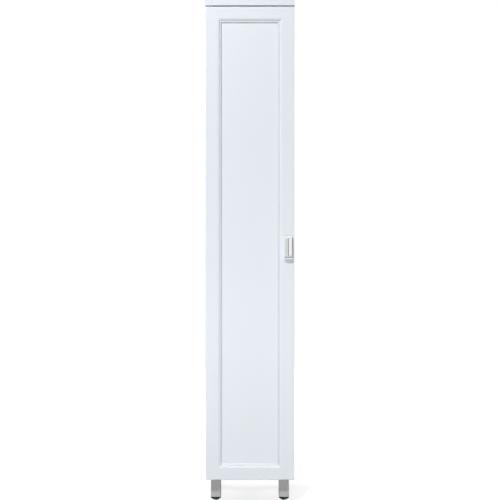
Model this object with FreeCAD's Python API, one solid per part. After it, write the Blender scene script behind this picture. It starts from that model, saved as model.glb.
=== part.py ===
import FreeCAD, Part
import os

from FreeCAD import Vector

# Sizes in millimetres. +Z is up, the door faces -Y, the origin is the centre of the floor area.

# Overall
WIDTH = 350.0
HEIGHT = 1996.0
CARCASS_DEPTH = 297.0
LEG_HEIGHT = 110.0

# Boards
BOARD = 16.0
TOP_BOARD = 25.0
BACK_PANEL = 3.0
BACK_INSET = 2.0
EDGE_BAND = 1.0
UPPER_ROOM = 502.0
SHELF_SETBACK = 6.0
LOOSE_SHELF_PLAY = 1.0

# Door, cut from one board with a routed frame
DOOR_THICKNESS = 18.0
DOOR_GAP = 2.0
DOOR_REVEAL = 1.0
DOOR_TOP_GAP = 5.0
DOOR_ROUND = 3.0
STILE = 50.0
RAIL = 47.5
QUIRK = 0.8
OVOLO_WIDTH = 7.6
OVOLO_DROP = 5.0
OVOLO_BULGE = 0.8
STEP_WIDTH = 3.6
BEVEL_WIDTH = 3.2
BEVEL_DROP = 5.6

# Bow handle
HANDLE_PROJECTION = 24.0
HANDLE_WIDTH = 30.0
HANDLE_LENGTH = 97.0
HANDLE_DROP = 939.5
HANDLE_EDGE = 24.5
HANDLE_GRIP = 4.5
HANDLE_FOOT = 14.0
HANDLE_BEND = 14.0
HANDLE_INNER_BEND = 8.0
HANDLE_FACET = 1.4
HANDLE_GROOVE = 1.0
HANDLE_GROOVE_DEPTH = 0.5
HANDLE_SCREW_BITE = 9.0

# Legs and feet
LEG_SIZE = 40.0
LEG_WALL = 1.5
LEG_CORNER = 5.0
FRONT_LEG_SIDE_INSET = 18.5
REAR_LEG_SIDE_INSET = 10.0
LEG_FRONT_INSET = 32.0
LEG_REAR_INSET = 30.0
LEG_PLATE = 56.0
LEG_PLATE_THICKNESS = 2.5
LEG_PLATE_HOLE = 23.0
PLUG_HEIGHT = 11.5
PLUG_LIP = 4.5
PLUG_TAPER = 7.0
PLUG_INSERT = 22.0
FOOT_HEIGHT = 6.0
FOOT_RADIUS = 12.0
FOOT_NECK = 9.0
STUD_RADIUS = 4.0
STUD_LENGTH = 30.0
STUD_SHOWN = 8.0
FOOT_CHAMFER = 1.0

# Knock-down fittings
CAM_RADIUS = 7.5
CAM_DEPTH = 12.5
CAM_SETBACK = 34.0
CAM_EDGE = 45.0
CAM_BOLT_RADIUS = 2.5
CAM_BOLT_BITE = 10.0
CAM_BOLT_HEAD = 3.5
CAM_HEAD_LENGTH = 5.0
DOWEL_RADIUS = 4.0
DOWEL_LENGTH = 28.0
DOWEL_BITE = 10.0
DOWEL_EDGE = 90.0

# Shelf pins in rows of holes
PIN_ROWS = 10
PIN_PITCH = 32.0
PIN_FIRST_ROW = 96.0
PIN_EDGE = 37.0
PIN_RADIUS = 2.5
PIN_INSERT = 9.0
PIN_REST = 10.0
PIN_REST_RADIUS = 4.0

# Wall brackets and back nails
BRACKET_SPACING = 200.0
BRACKET_WIDTH = 40.0
BRACKET_LEG = 44.0
BRACKET_THICKNESS = 2.5
BRACKET_HOLE_RADIUS = 3.25
BRACKET_HOLE_DROP = 28.0
BRACKET_SCREW_SPACING = 24.0
WALL_HOLE_RADIUS = 5.0
NAIL_RADIUS = 0.8
NAIL_LENGTH = 18.0
NAIL_HEAD_RADIUS = 1.9
NAIL_HEAD = 0.9
NAIL_END = 40.0
NAIL_COUNT = 12
CROSS_NAIL_COUNT = 3

# Wood screws and machine screws
SCREW_RADIUS = 2.0
SCREW_HEAD_RADIUS = 3.6
SCREW_HEAD = 1.8
SCREW_LENGTH = 13.0
SOCKET_WIDTH = 1.2
SOCKET_DEPTH = 1.0
BUMPER_RADIUS = 5.0
BUMPER_THICKNESS = 1.7
BUMPER_END = 60.0

# Concealed hinges. Pairs are (across from the door's hinge edge, inward from the door's back).
HINGE_COUNT = 4
HINGE_END = 100.0
CUP_CENTRE = 22.0
CUP_RADIUS = 17.5
CUP_DEPTH = 11.5
CUP_WALL = 1.1
CUP_FLOOR = 1.2
FLANGE_RADIUS = 18.5
FLANGE_THICKNESS = 0.8
FLANGE_LENGTH = 56.0
FLANGE_FROM = 25.0
FLANGE_TO = 38.0
CUP_SCREW_ACROSS = 31.5
CUP_SCREW_SPACING = 45.0
CHEEK_FROM = 7.0
CHEEK_TO = 15.5
CHEEK_THICKNESS = 2.8
HINGE_PIN_RADIUS = 1.25
MAIN_CUP_PIVOT = (10.7, -1.9)
MAIN_ELBOW = (18.5, -6.4)
MAIN_ARM_PIVOT = (30.6, 6.9)
GUIDE_CUP_PIVOT = (11.5, -8.0)
GUIDE_ELBOW = (22.5, -8.0)
GUIDE_ARM_PIVOT = (35.0, 12.0)
MAIN_LINK_HALF = 1.6
MAIN_LINK_EYE = 2.5
GUIDE_LINK_HALF = 1.05
GUIDE_LINK_EYE = 2.6
GUIDE_LINK_WIDTH = 6.0
MAIN_LINK_THICKNESS = 2.4
LINK_LAYER_GAP = 0.5
OPEN_PIVOT_CLEARANCE = 0.6
ARM_WALL = 1.5
ARM_RISE = 9.5
ARM_NOSE_MARGIN = 2.9
ARM_REAR = 25.0
ARM_STEP_FROM = 10.0
ARM_STEP_TO = 17.0
ARM_SCREW = 15.0
PLATE_LINE = 37.0
PLATE_BASE = 2.5
PLATE_RIB = 1.5
PLATE_LENGTH = 46.0
PLATE_BASE_HALF = 11.0
PLATE_RIB_FRONT = 13.0
PLATE_SCREW_SPACING = 32.0

# Clearances
FIT = 0.1
PIVOT_FIT = 0.05
BOTTOM_PLAY = 0.5
NEAR = 0.5

# Places that follow from the sizes
DEPTH = HANDLE_PROJECTION + DOOR_THICKNESS + DOOR_GAP + CARCASS_DEPTH + BACK_PANEL
HANDLE_FRONT = -DEPTH / 2
DOOR_FRONT = HANDLE_FRONT + HANDLE_PROJECTION
DOOR_BACK = DOOR_FRONT + DOOR_THICKNESS
CARCASS_FRONT = DOOR_BACK + DOOR_GAP
CARCASS_REAR = CARCASS_FRONT + CARCASS_DEPTH
REAR = CARCASS_REAR + BACK_PANEL
BOARD_FRONT = CARCASS_FRONT + EDGE_BAND
HALF = WIDTH / 2
INNER = HALF - BOARD
SIDE_BOTTOM = LEG_HEIGHT + BOARD
SIDE_TOP = HEIGHT - TOP_BOARD
DOOR_LEFT = -HALF + DOOR_REVEAL
DOOR_RIGHT = HALF - DOOR_REVEAL
DOOR_BOTTOM = LEG_HEIGHT
DOOR_TOP = SIDE_TOP - DOOR_TOP_GAP
SHELF_TOP = SIDE_TOP - UPPER_ROOM
SHELF_HEIGHT = SHELF_TOP - BOARD
PIN_HEIGHTS = [SHELF_TOP + PIN_FIRST_ROW + row * PIN_PITCH for row in range(PIN_ROWS)]
LOOSE_SHELF_PIN = PIN_HEIGHTS[PIN_ROWS // 2]
HANDLE_X = DOOR_RIGHT - HANDLE_EDGE
HANDLE_CENTRE = DOOR_TOP - HANDLE_DROP
HANDLE_SCREW_SPACING = HANDLE_LENGTH - HANDLE_FOOT
CAM_Y = [BOARD_FRONT + CAM_EDGE, CARCASS_REAR - CAM_EDGE]
DOWEL_Y = [BOARD_FRONT + DOWEL_EDGE, CARCASS_REAR - DOWEL_EDGE]
PIN_Y = [CARCASS_FRONT + PIN_EDGE, CARCASS_REAR - PIN_EDGE]
SIDE_MIDDLE = HALF - BOARD / 2
HINGE_STEP = (DOOR_TOP - DOOR_BOTTOM - 2 * HINGE_END) / (HINGE_COUNT - 1)
HINGE_HEIGHTS = [DOOR_BOTTOM + HINGE_END + i * HINGE_STEP for i in range(HINGE_COUNT)]
SIDE_FACE = -INNER - DOOR_LEFT
PLATE_TOP = SIDE_FACE + PLATE_BASE + PLATE_RIB
PLATE_ROW = DOOR_GAP + PLATE_LINE
GUIDE_LAYER = GUIDE_LINK_WIDTH / 2
MAIN_LAYER = GUIDE_LAYER + LINK_LAYER_GAP
MAIN_LAYER_END = MAIN_LAYER + MAIN_LINK_THICKNESS
CHEEK_LAYER = MAIN_LAYER_END + LINK_LAYER_GAP
ARM_HALF = CHEEK_LAYER + ARM_WALL

UP = Vector(0, 0, 1)
INWARD = Vector(0, 1, 0)
RIGHT = Vector(1, 0, 0)


def box(x0, x1, y0, y1, z0, z1):
    return Part.makeBox(x1 - x0, y1 - y0, z1 - z0, Vector(x0, y0, z0))


def rod(start, axis, length, radius):
    return Part.makeCylinder(radius, length, start, axis)


def prism(corners, travel):
    return Part.Face(Part.makePolygon(corners + corners[:1])).extrude(travel)


def join(shapes):
    return shapes[0].fuse(shapes[1:]).removeSplitter()


def flat_list(groups):
    return [item for group in groups for item in group]


def save(node, shapes):
    Part.makeCompound(shapes).exportStep("parts/" + node + ".step")


def screw(seat, axis, length):
    # A pan-head screw: the head stands on the seat, the shank goes along the axis
    head = rod(seat - axis * SCREW_HEAD, axis, SCREW_HEAD, SCREW_HEAD_RADIUS)
    across = UP if abs(axis.z) < 0.5 else RIGHT
    side = axis.cross(across)
    corner = seat - axis * SCREW_HEAD - across * SCREW_HEAD_RADIUS - side * (SOCKET_WIDTH / 2)
    rim = [
        corner,
        corner + across * (2 * SCREW_HEAD_RADIUS),
        corner + across * (2 * SCREW_HEAD_RADIUS) + side * SOCKET_WIDTH,
        corner + side * SOCKET_WIDTH,
    ]
    slot = prism(rim, axis * SOCKET_DEPTH)
    return head.fuse(rod(seat, axis, length, SCREW_RADIUS)).cut(slot).removeSplitter()


def screw_hole(seat, axis, length):
    return rod(seat, axis, length + BOTTOM_PLAY, SCREW_RADIUS + FIT)


# Knock-down joints: each is (point on the joint plane, direction into the board that holds the bolt,
# direction from the cam's face into its board)
def board_joints(rows):
    joints = []
    for y in rows:
        for side in (-1, 1):
            into_side = Vector(side, 0, 0)
            middle = side * SIDE_MIDDLE
            joints.append((Vector(middle, y, SIDE_TOP), UP, into_side))
            joints.append((Vector(middle, y, SIDE_BOTTOM), -UP, into_side))
            joints.append((Vector(side * INNER, y, SHELF_HEIGHT + BOARD / 2), into_side, UP))
    return joints


def cam_seat(joint):
    point, bolt_way, cam_way = joint
    return point - bolt_way * CAM_SETBACK - cam_way * (BOARD / 2)


def cam_bolt(joint):
    point, bolt_way, cam_way = joint
    shank_end = CAM_SETBACK - CAM_HEAD_LENGTH / 2
    shank = rod(point - bolt_way * shank_end, bolt_way, shank_end, CAM_BOLT_RADIUS)
    thread = rod(point, bolt_way, CAM_BOLT_BITE, CAM_BOLT_RADIUS + 2 * FIT)
    head_start = point - bolt_way * (CAM_SETBACK + CAM_HEAD_LENGTH / 2)
    head = rod(head_start, bolt_way, CAM_HEAD_LENGTH, CAM_BOLT_HEAD)
    return join([shank, thread, head])


def cam_lock(joint):
    point, bolt_way, cam_way = joint
    seat = cam_seat(joint)
    lock = rod(seat, cam_way, CAM_DEPTH, CAM_RADIUS)
    bore_start = point - bolt_way * (CAM_SETBACK + CAM_HEAD_LENGTH / 2 + BOTTOM_PLAY)
    bore = rod(bore_start, bolt_way, CAM_SETBACK, CAM_BOLT_HEAD + FIT)
    across = bolt_way.cross(cam_way)
    slot_corner = seat - across * (SOCKET_WIDTH / 2) - bolt_way * CAM_RADIUS
    rim = [
        slot_corner,
        slot_corner + bolt_way * (2 * CAM_RADIUS),
        slot_corner + bolt_way * (2 * CAM_RADIUS) + across * SOCKET_WIDTH,
        slot_corner + across * SOCKET_WIDTH,
    ]
    return lock.cut(bore).cut(prism(rim, cam_way * SOCKET_DEPTH))


def cam_pocket(joint):
    return rod(cam_seat(joint), joint[2], CAM_DEPTH + FIT, CAM_RADIUS + FIT)


def cam_bolt_bore(joint):
    point, bolt_way, cam_way = joint
    return rod(point - bolt_way * CAM_SETBACK, bolt_way, CAM_SETBACK, CAM_BOLT_HEAD + FIT)


def cam_thread_hole(joint):
    return rod(joint[0], joint[1], CAM_BOLT_BITE + BOTTOM_PLAY, CAM_BOLT_RADIUS + 3 * FIT)


def dowel(joint):
    point, way, _ = joint
    return rod(point - way * (DOWEL_LENGTH - DOWEL_BITE), way, DOWEL_LENGTH, DOWEL_RADIUS)


def dowel_bore(joint):
    point, way, _ = joint
    start = point - way * (DOWEL_LENGTH - DOWEL_BITE + BOTTOM_PLAY)
    return rod(start, way, DOWEL_LENGTH + 2 * BOTTOM_PLAY, DOWEL_RADIUS + FIT)


CAM_JOINTS = board_joints(CAM_Y)
DOWEL_JOINTS = board_joints(DOWEL_Y)
JOINT_HOLES = [hole(j) for j in CAM_JOINTS for hole in (cam_pocket, cam_bolt_bore, cam_thread_hole)]
JOINT_HOLES += [dowel_bore(j) for j in DOWEL_JOINTS]


def drilled(shape, holes):
    # Cut only the holes that reach this board
    reaching = [h for h in holes if h.BoundBox.intersect(shape.BoundBox)]
    return shape.cut(reaching) if reaching else shape


# Back panel nails: into both sides, the bottom board and the fixed shelf
def nail_places():
    step = (SIDE_TOP - LEG_HEIGHT - 2 * NAIL_END) / (NAIL_COUNT - 1)
    places = []
    for side in (-1, 1):
        for i in range(NAIL_COUNT):
            places.append((side * SIDE_MIDDLE, LEG_HEIGHT + NAIL_END + i * step))
    for z in (LEG_HEIGHT + BOARD / 2, SHELF_HEIGHT + BOARD / 2):
        for i in range(CROSS_NAIL_COUNT):
            places.append(((i + 1) / (CROSS_NAIL_COUNT + 1) * 2 * INNER - INNER, z))
    return places


def back_nail(x, z):
    head = rod(Vector(x, REAR, z), -INWARD, NAIL_HEAD, NAIL_HEAD_RADIUS)
    return head.fuse(rod(Vector(x, REAR, z), -INWARD, NAIL_LENGTH, NAIL_RADIUS)).removeSplitter()


def nail_hole(x, z):
    sink = rod(Vector(x, REAR, z), -INWARD, NAIL_HEAD + FIT, NAIL_HEAD_RADIUS + FIT)
    return sink.fuse(rod(Vector(x, REAR, z), -INWARD, NAIL_LENGTH + BOTTOM_PLAY, NAIL_RADIUS + FIT))


NAIL_HOLES = [nail_hole(x, z) for x, z in nail_places()]


# Wall brackets under the top board, against the back panel
BRACKET_CENTRES = [-BRACKET_SPACING / 2, BRACKET_SPACING / 2]
WALL_HOLE_Z = SIDE_TOP - BRACKET_HOLE_DROP


def wall_bracket(x):
    x0, x1 = x - BRACKET_WIDTH / 2, x + BRACKET_WIDTH / 2
    inner_face = CARCASS_REAR - BRACKET_THICKNESS
    underside = SIDE_TOP - BRACKET_THICKNESS
    flat = box(x0, x1, CARCASS_REAR - BRACKET_LEG, CARCASS_REAR, underside, SIDE_TOP)
    upright = box(x0, x1, inner_face, CARCASS_REAR, SIDE_TOP - BRACKET_LEG, SIDE_TOP)
    holes = [rod(Vector(x, inner_face, WALL_HOLE_Z), INWARD, BRACKET_THICKNESS, BRACKET_HOLE_RADIUS)]
    holes += [screw_hole(p, UP, SCREW_LENGTH) for p in bracket_screw_seats(x)]
    return join([flat, upright]).cut(holes)


def bracket_screw_seats(x):
    y = CARCASS_REAR - BRACKET_LEG / 2
    return [Vector(x + s * BRACKET_SCREW_SPACING / 2, y, SIDE_TOP - BRACKET_THICKNESS) for s in (-1, 1)]


BRACKET_SEATS = flat_list(bracket_screw_seats(x) for x in BRACKET_CENTRES)


# Shelf pins
def shelf_pin(side, y):
    face = Vector(side * INNER, y, LOOSE_SHELF_PIN)
    into = Vector(side, 0, 0)
    stem = rod(face, into, PIN_INSERT, PIN_RADIUS)
    rest = rod(face - into * PIN_REST, into, PIN_REST, PIN_REST_RADIUS)
    flat = Part.makeBox(2 * PIN_REST, 4 * PIN_REST_RADIUS, PIN_REST_RADIUS)
    flat.translate(Vector(side * INNER - PIN_REST, y - 2 * PIN_REST_RADIUS, LOOSE_SHELF_PIN + PIN_RADIUS))
    return stem.fuse(rest.cut(flat)).removeSplitter()


def shelf_pin_holes(side):
    into = Vector(side, 0, 0)
    return [
        rod(Vector(side * INNER, y, z), into, PIN_INSERT + BOTTOM_PLAY, PIN_RADIUS + FIT)
        for y in PIN_Y
        for z in PIN_HEIGHTS
    ]


# Hinges
def hinge_point(pair, z):
    return Vector(DOOR_LEFT + pair[0], DOOR_BACK + pair[1], z)


def hinge_rod(pair, radius, z0, z1):
    return rod(hinge_point(pair, z0), UP, z1 - z0, radius)


def hinge_plate_of(pairs, z0, z1):
    return prism([hinge_point(p, z0) for p in pairs], UP * (z1 - z0))


def strip(a, b, half, z0, z1):
    # A straight bar between two pivots, round at both ends
    start, end = hinge_point(a, z0), hinge_point(b, z0)
    side = UP.cross(end - start).normalize() * half
    bar = prism([start - side, end - side, end + side, start + side], UP * (z1 - z0))
    return join([bar, hinge_rod(a, half, z0, z1), hinge_rod(b, half, z0, z1)])


def layers(z, near, far):
    return [(z - far, z - near), (z + near, z + far)]


def main_links(z):
    links = []
    for z0, z1 in layers(z, MAIN_LAYER, MAIN_LAYER_END):
        link = join([
            strip(MAIN_CUP_PIVOT, MAIN_ELBOW, MAIN_LINK_HALF, z0, z1),
            strip(MAIN_ELBOW, MAIN_ARM_PIVOT, MAIN_LINK_HALF, z0, z1),
            hinge_rod(MAIN_CUP_PIVOT, MAIN_LINK_EYE, z0, z1),
            hinge_rod(MAIN_ARM_PIVOT, MAIN_LINK_EYE, z0, z1),
        ])
        eye = HINGE_PIN_RADIUS + PIVOT_FIT
        links.append(link.cut([hinge_rod(p, eye, z0, z1) for p in (MAIN_CUP_PIVOT, MAIN_ARM_PIVOT)]))
    return links


def guide_link(z):
    z0, z1 = z - GUIDE_LAYER, z + GUIDE_LAYER
    link = join([
        strip(GUIDE_CUP_PIVOT, GUIDE_ELBOW, GUIDE_LINK_HALF, z0, z1),
        strip(GUIDE_ELBOW, GUIDE_ARM_PIVOT, GUIDE_LINK_HALF, z0, z1),
        hinge_rod(GUIDE_ARM_PIVOT, GUIDE_LINK_EYE, z0, z1),
    ])
    saddle = hinge_rod(GUIDE_CUP_PIVOT, HINGE_PIN_RADIUS + OPEN_PIVOT_CLEARANCE, z0, z1)
    return link.cut([saddle, hinge_rod(GUIDE_ARM_PIVOT, HINGE_PIN_RADIUS + PIVOT_FIT, z0, z1)])


def pins(z, main_pivot, guide_pivot, reach):
    # Two stubs carry the main links, one long pin the guide link between them
    stubs = [hinge_rod(main_pivot, HINGE_PIN_RADIUS, z0, z1) for z0, z1 in layers(z, MAIN_LAYER, reach)]
    return stubs + [hinge_rod(guide_pivot, HINGE_PIN_RADIUS, z - reach, z + reach)]


def pin_bores(z, pivots, reach):
    return [hinge_rod(p, HINGE_PIN_RADIUS + PIVOT_FIT, z - reach, z + reach) for p in pivots]


def cup_pins(z):
    return pins(z, MAIN_CUP_PIVOT, GUIDE_CUP_PIVOT, CHEEK_LAYER + CHEEK_THICKNESS)


def arm_pins(z):
    return pins(z, MAIN_ARM_PIVOT, GUIDE_ARM_PIVOT, ARM_HALF)


def cup_screw_seats(z):
    half = CUP_SCREW_SPACING / 2
    return [hinge_point((CUP_SCREW_ACROSS, FLANGE_THICKNESS), z + s * half) for s in (-1, 1)]


def hinge_cup(z):
    floor = hinge_point((CUP_CENTRE, -CUP_DEPTH), z)
    body = rod(floor, INWARD, CUP_DEPTH, CUP_RADIUS)
    rim = rod(hinge_point((CUP_CENTRE, 0), z), INWARD, FLANGE_THICKNESS, FLANGE_RADIUS)
    wing_from = hinge_point((FLANGE_FROM, 0), z - FLANGE_LENGTH / 2)
    wing = Part.makeBox(FLANGE_TO - FLANGE_FROM, FLANGE_THICKNESS, FLANGE_LENGTH, wing_from)
    hollow_from = floor + INWARD * CUP_FLOOR
    hollow = rod(hollow_from, INWARD, CUP_DEPTH + FLANGE_THICKNESS, CUP_RADIUS - CUP_WALL)
    shell = join([body, rim, wing]).cut(hollow)
    cheeks = []
    for z0, z1 in layers(z, CHEEK_LAYER, CHEEK_LAYER + CHEEK_THICKNESS):
        low = hinge_point((CHEEK_FROM, -CUP_DEPTH), z0)
        cheeks.append(Part.makeBox(CHEEK_TO - CHEEK_FROM, CUP_DEPTH, z1 - z0, low).common(body))
    holes = pin_bores(z, (MAIN_CUP_PIVOT, GUIDE_CUP_PIVOT), CHEEK_LAYER + CHEEK_THICKNESS + FIT)
    holes += [screw_hole(p, -INWARD, FLANGE_THICKNESS) for p in cup_screw_seats(z)]
    return join([shell] + cheeks).cut(holes)


def cup_pocket(z):
    pocket = rod(hinge_point((CUP_CENTRE, 0), z), -INWARD, CUP_DEPTH + FIT, CUP_RADIUS + FIT)
    return [pocket] + [screw_hole(p, -INWARD, SCREW_LENGTH) for p in cup_screw_seats(z)]


def arm_screw_row():
    return PLATE_ROW + ARM_SCREW


def hinge_arm(z):
    top = PLATE_TOP + ARM_RISE
    nose = ARM_NOSE_MARGIN
    right = GUIDE_ARM_PIVOT[0] + GUIDE_LINK_EYE + LINK_LAYER_GAP + ARM_WALL
    front = MAIN_ARM_PIVOT[1] - nose
    step_from = GUIDE_ARM_PIVOT[1] + ARM_STEP_FROM
    step_to = GUIDE_ARM_PIVOT[1] + ARM_STEP_TO
    rear = PLATE_ROW + ARM_REAR
    outline = [
        (MAIN_ARM_PIVOT[0] - nose, front),
        (MAIN_ARM_PIVOT[0] + nose, front),
        (right, GUIDE_ARM_PIVOT[1] - nose),
        (right, step_from),
        (top, step_to),
        (top, rear),
        (PLATE_TOP, rear),
        (PLATE_TOP, step_to),
    ]
    channel = [
        (SIDE_FACE, front - ARM_WALL),
        (right - ARM_WALL, front - ARM_WALL),
        (right - ARM_WALL, step_from - ARM_WALL / 2),
        (top - ARM_WALL, step_to - ARM_WALL / 2),
        (top - ARM_WALL, rear + ARM_WALL),
        (SIDE_FACE, rear + ARM_WALL),
    ]
    arm = hinge_plate_of(outline, z - ARM_HALF, z + ARM_HALF)
    hollow = hinge_plate_of(channel, z - CHEEK_LAYER, z + CHEEK_LAYER)
    eyes = pin_bores(z, (MAIN_ARM_PIVOT, GUIDE_ARM_PIVOT), ARM_HALF)
    screws = [screw_hole(hinge_point((top, v), z), -RIGHT, ARM_RISE) for v in (PLATE_ROW, arm_screw_row())]
    return arm.cut([hollow] + eyes + screws)


def arm_screws(z):
    # The rear screw clamps the arm to its plate, the front one bears on the plate and sets the door sideways
    seat = PLATE_TOP + ARM_RISE
    clamp_length = ARM_RISE + PLATE_RIB + PLATE_BASE / 2
    clamp = screw(hinge_point((seat, arm_screw_row()), z), -RIGHT, clamp_length)
    setter = screw(hinge_point((seat, PLATE_ROW), z), -RIGHT, ARM_RISE)
    return [clamp, setter]


def plate_screw_seats(z):
    half = PLATE_SCREW_SPACING / 2
    return [hinge_point((SIDE_FACE + PLATE_BASE, PLATE_ROW), z + s * half) for s in (-1, 1)]


def hinge_plate(z):
    base_corner = hinge_point((SIDE_FACE, PLATE_ROW - PLATE_BASE_HALF), z - PLATE_LENGTH / 2)
    base = Part.makeBox(PLATE_BASE, 2 * PLATE_BASE_HALF, PLATE_LENGTH, base_corner)
    rib_corner = hinge_point((SIDE_FACE, PLATE_ROW - PLATE_RIB_FRONT), z - ARM_HALF)
    rib = Part.makeBox(PLATE_BASE + PLATE_RIB, PLATE_RIB_FRONT + ARM_REAR, 2 * ARM_HALF, rib_corner)
    holes = [screw_hole(p, -RIGHT, PLATE_BASE) for p in plate_screw_seats(z)]
    holes.append(screw_hole(hinge_point((PLATE_TOP, arm_screw_row()), z), -RIGHT, PLATE_BASE + PLATE_RIB))
    return join([base, rib]).cut(holes)


PLATE_SEATS = flat_list(plate_screw_seats(z) for z in HINGE_HEIGHTS)
PLATE_HOLES = [screw_hole(p, -RIGHT, SCREW_LENGTH) for p in PLATE_SEATS]


# Boards
def side_board(side):
    x0, x1 = sorted((side * INNER, side * HALF))
    board = box(x0, x1, BOARD_FRONT, CARCASS_REAR, SIDE_BOTTOM, SIDE_TOP)
    holes = JOINT_HOLES + NAIL_HOLES + shelf_pin_holes(side)
    return drilled(board, holes + (PLATE_HOLES if side < 0 else []))


def top_board():
    board = box(-HALF, HALF, DOOR_FRONT, REAR, SIDE_TOP, HEIGHT)
    return drilled(board, JOINT_HOLES + [screw_hole(p, UP, SCREW_LENGTH) for p in BRACKET_SEATS])


def bottom_board():
    board = box(-HALF, HALF, BOARD_FRONT, CARCASS_REAR, LEG_HEIGHT, SIDE_BOTTOM)
    return drilled(board, JOINT_HOLES + NAIL_HOLES + LEG_SCREW_HOLES)


def fixed_shelf():
    board = box(-INNER, INNER, BOARD_FRONT, CARCASS_REAR, SHELF_HEIGHT, SHELF_TOP)
    return drilled(board, JOINT_HOLES + NAIL_HOLES)


def loose_shelf_box(y0, y1):
    half = INNER - LOOSE_SHELF_PLAY
    low = LOOSE_SHELF_PIN + PIN_RADIUS
    return box(-half, half, y0, y1, low, low + BOARD)


def loose_shelf():
    return loose_shelf_box(CARCASS_FRONT + SHELF_SETBACK + EDGE_BAND, CARCASS_REAR - LOOSE_SHELF_PLAY)


def edge_bands():
    front, back = CARCASS_FRONT, BOARD_FRONT
    setback = CARCASS_FRONT + SHELF_SETBACK
    return [
        box(-HALF, -INNER, front, back, SIDE_BOTTOM, SIDE_TOP),
        box(INNER, HALF, front, back, SIDE_BOTTOM, SIDE_TOP),
        box(-HALF, HALF, front, back, LEG_HEIGHT, SIDE_BOTTOM),
        box(-INNER, INNER, front, back, SHELF_HEIGHT, SHELF_TOP),
        loose_shelf_box(setback, setback + EDGE_BAND),
    ]


def back_panel():
    half = HALF - BACK_INSET
    panel = box(-half, half, CARCASS_REAR, REAR, LEG_HEIGHT + BACK_INSET, SIDE_TOP)
    wall_points = [Vector(x, CARCASS_REAR, WALL_HOLE_Z) for x in BRACKET_CENTRES]
    wall_holes = [rod(p, INWARD, BACK_PANEL, WALL_HOLE_RADIUS) for p in wall_points]
    return drilled(panel, NAIL_HOLES + wall_holes)


# Legs
FRONT_LEG_X = HALF - FRONT_LEG_SIDE_INSET - LEG_SIZE / 2
FRONT_LEG_Y = CARCASS_FRONT + LEG_FRONT_INSET + LEG_SIZE / 2
REAR_LEG_X = HALF - REAR_LEG_SIDE_INSET - LEG_SIZE / 2
REAR_LEG_Y = CARCASS_REAR - LEG_REAR_INSET - LEG_SIZE / 2
LEG_PLACES = {
    "front_left": (-FRONT_LEG_X, FRONT_LEG_Y),
    "front_right": (FRONT_LEG_X, FRONT_LEG_Y),
    "rear_left": (-REAR_LEG_X, REAR_LEG_Y),
    "rear_right": (REAR_LEG_X, REAR_LEG_Y),
}
PLUG_BOTTOM = FOOT_HEIGHT + STUD_SHOWN
TUBE_BOTTOM = PLUG_BOTTOM + PLUG_HEIGHT
TUBE_TOP = LEG_HEIGHT - LEG_PLATE_THICKNESS


def square_bar(x, y, size, corner, z0, z1):
    half = size / 2
    bar = box(x - half, x + half, y - half, y + half, z0, z1)
    upright = [e for e in bar.Edges if abs(e.tangentAt(e.FirstParameter).z) > 0.5]
    return bar.makeFillet(corner, upright)


def leg_screw_seats(x, y):
    signs = [(-1, -1), (-1, 1), (1, -1), (1, 1)]
    return [Vector(x + sx * LEG_PLATE_HOLE, y + sy * LEG_PLATE_HOLE, TUBE_TOP) for sx, sy in signs]


LEG_SCREW_SEATS = flat_list(leg_screw_seats(x, y) for x, y in LEG_PLACES.values())
LEG_SCREW_HOLES = [screw_hole(p, UP, SCREW_LENGTH) for p in LEG_SCREW_SEATS]


def leg(x, y):
    outer = square_bar(x, y, LEG_SIZE, LEG_CORNER, TUBE_BOTTOM, TUBE_TOP)
    inner = square_bar(x, y, LEG_SIZE - 2 * LEG_WALL, LEG_CORNER - LEG_WALL, TUBE_BOTTOM, TUBE_TOP)
    plate = square_bar(x, y, LEG_PLATE, LEG_CORNER, TUBE_TOP, LEG_HEIGHT)
    holes = [screw_hole(p, UP, SCREW_LENGTH) for p in leg_screw_seats(x, y)]
    return join([outer.cut(inner), plate]).cut(holes)


def rounded_square(x, y, size, z):
    # Four straight sides with a quarter circle of the tube's corner after each
    half = size / 2
    flat = half - LEG_CORNER
    bend = flat + LEG_CORNER * 0.5 ** 0.5
    side = [Vector(half, -flat, z), Vector(half, flat, z), Vector(bend, bend, z), Vector(flat, half, z)]
    edges = []
    for quarter in range(4):
        turn = FreeCAD.Rotation(UP, 90 * quarter)
        start, end, middle, after = [Vector(x, y, 0) + turn.multVec(p) for p in side]
        edges += [Part.LineSegment(start, end).toShape(), Part.Arc(end, middle, after).toShape()]
    return Part.Wire(edges)


def leg_plug(x, y):
    # An upright lip as wide as the tube, and a taper below it
    low = rounded_square(x, y, LEG_SIZE - 2 * PLUG_TAPER, PLUG_BOTTOM)
    shoulder = rounded_square(x, y, LEG_SIZE, TUBE_BOTTOM - PLUG_LIP)
    high = rounded_square(x, y, LEG_SIZE, TUBE_BOTTOM)
    cap = Part.makeLoft([low, shoulder, high], True, True)
    insert_size = LEG_SIZE - 2 * LEG_WALL - 2 * FIT
    insert = square_bar(x, y, insert_size, LEG_CORNER - LEG_WALL, TUBE_BOTTOM, TUBE_BOTTOM + PLUG_INSERT)
    bore = rod(Vector(x, y, PLUG_BOTTOM), UP, PLUG_HEIGHT + PLUG_INSERT, STUD_RADIUS + FIT)
    return join([cap, insert]).cut(bore)


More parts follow.
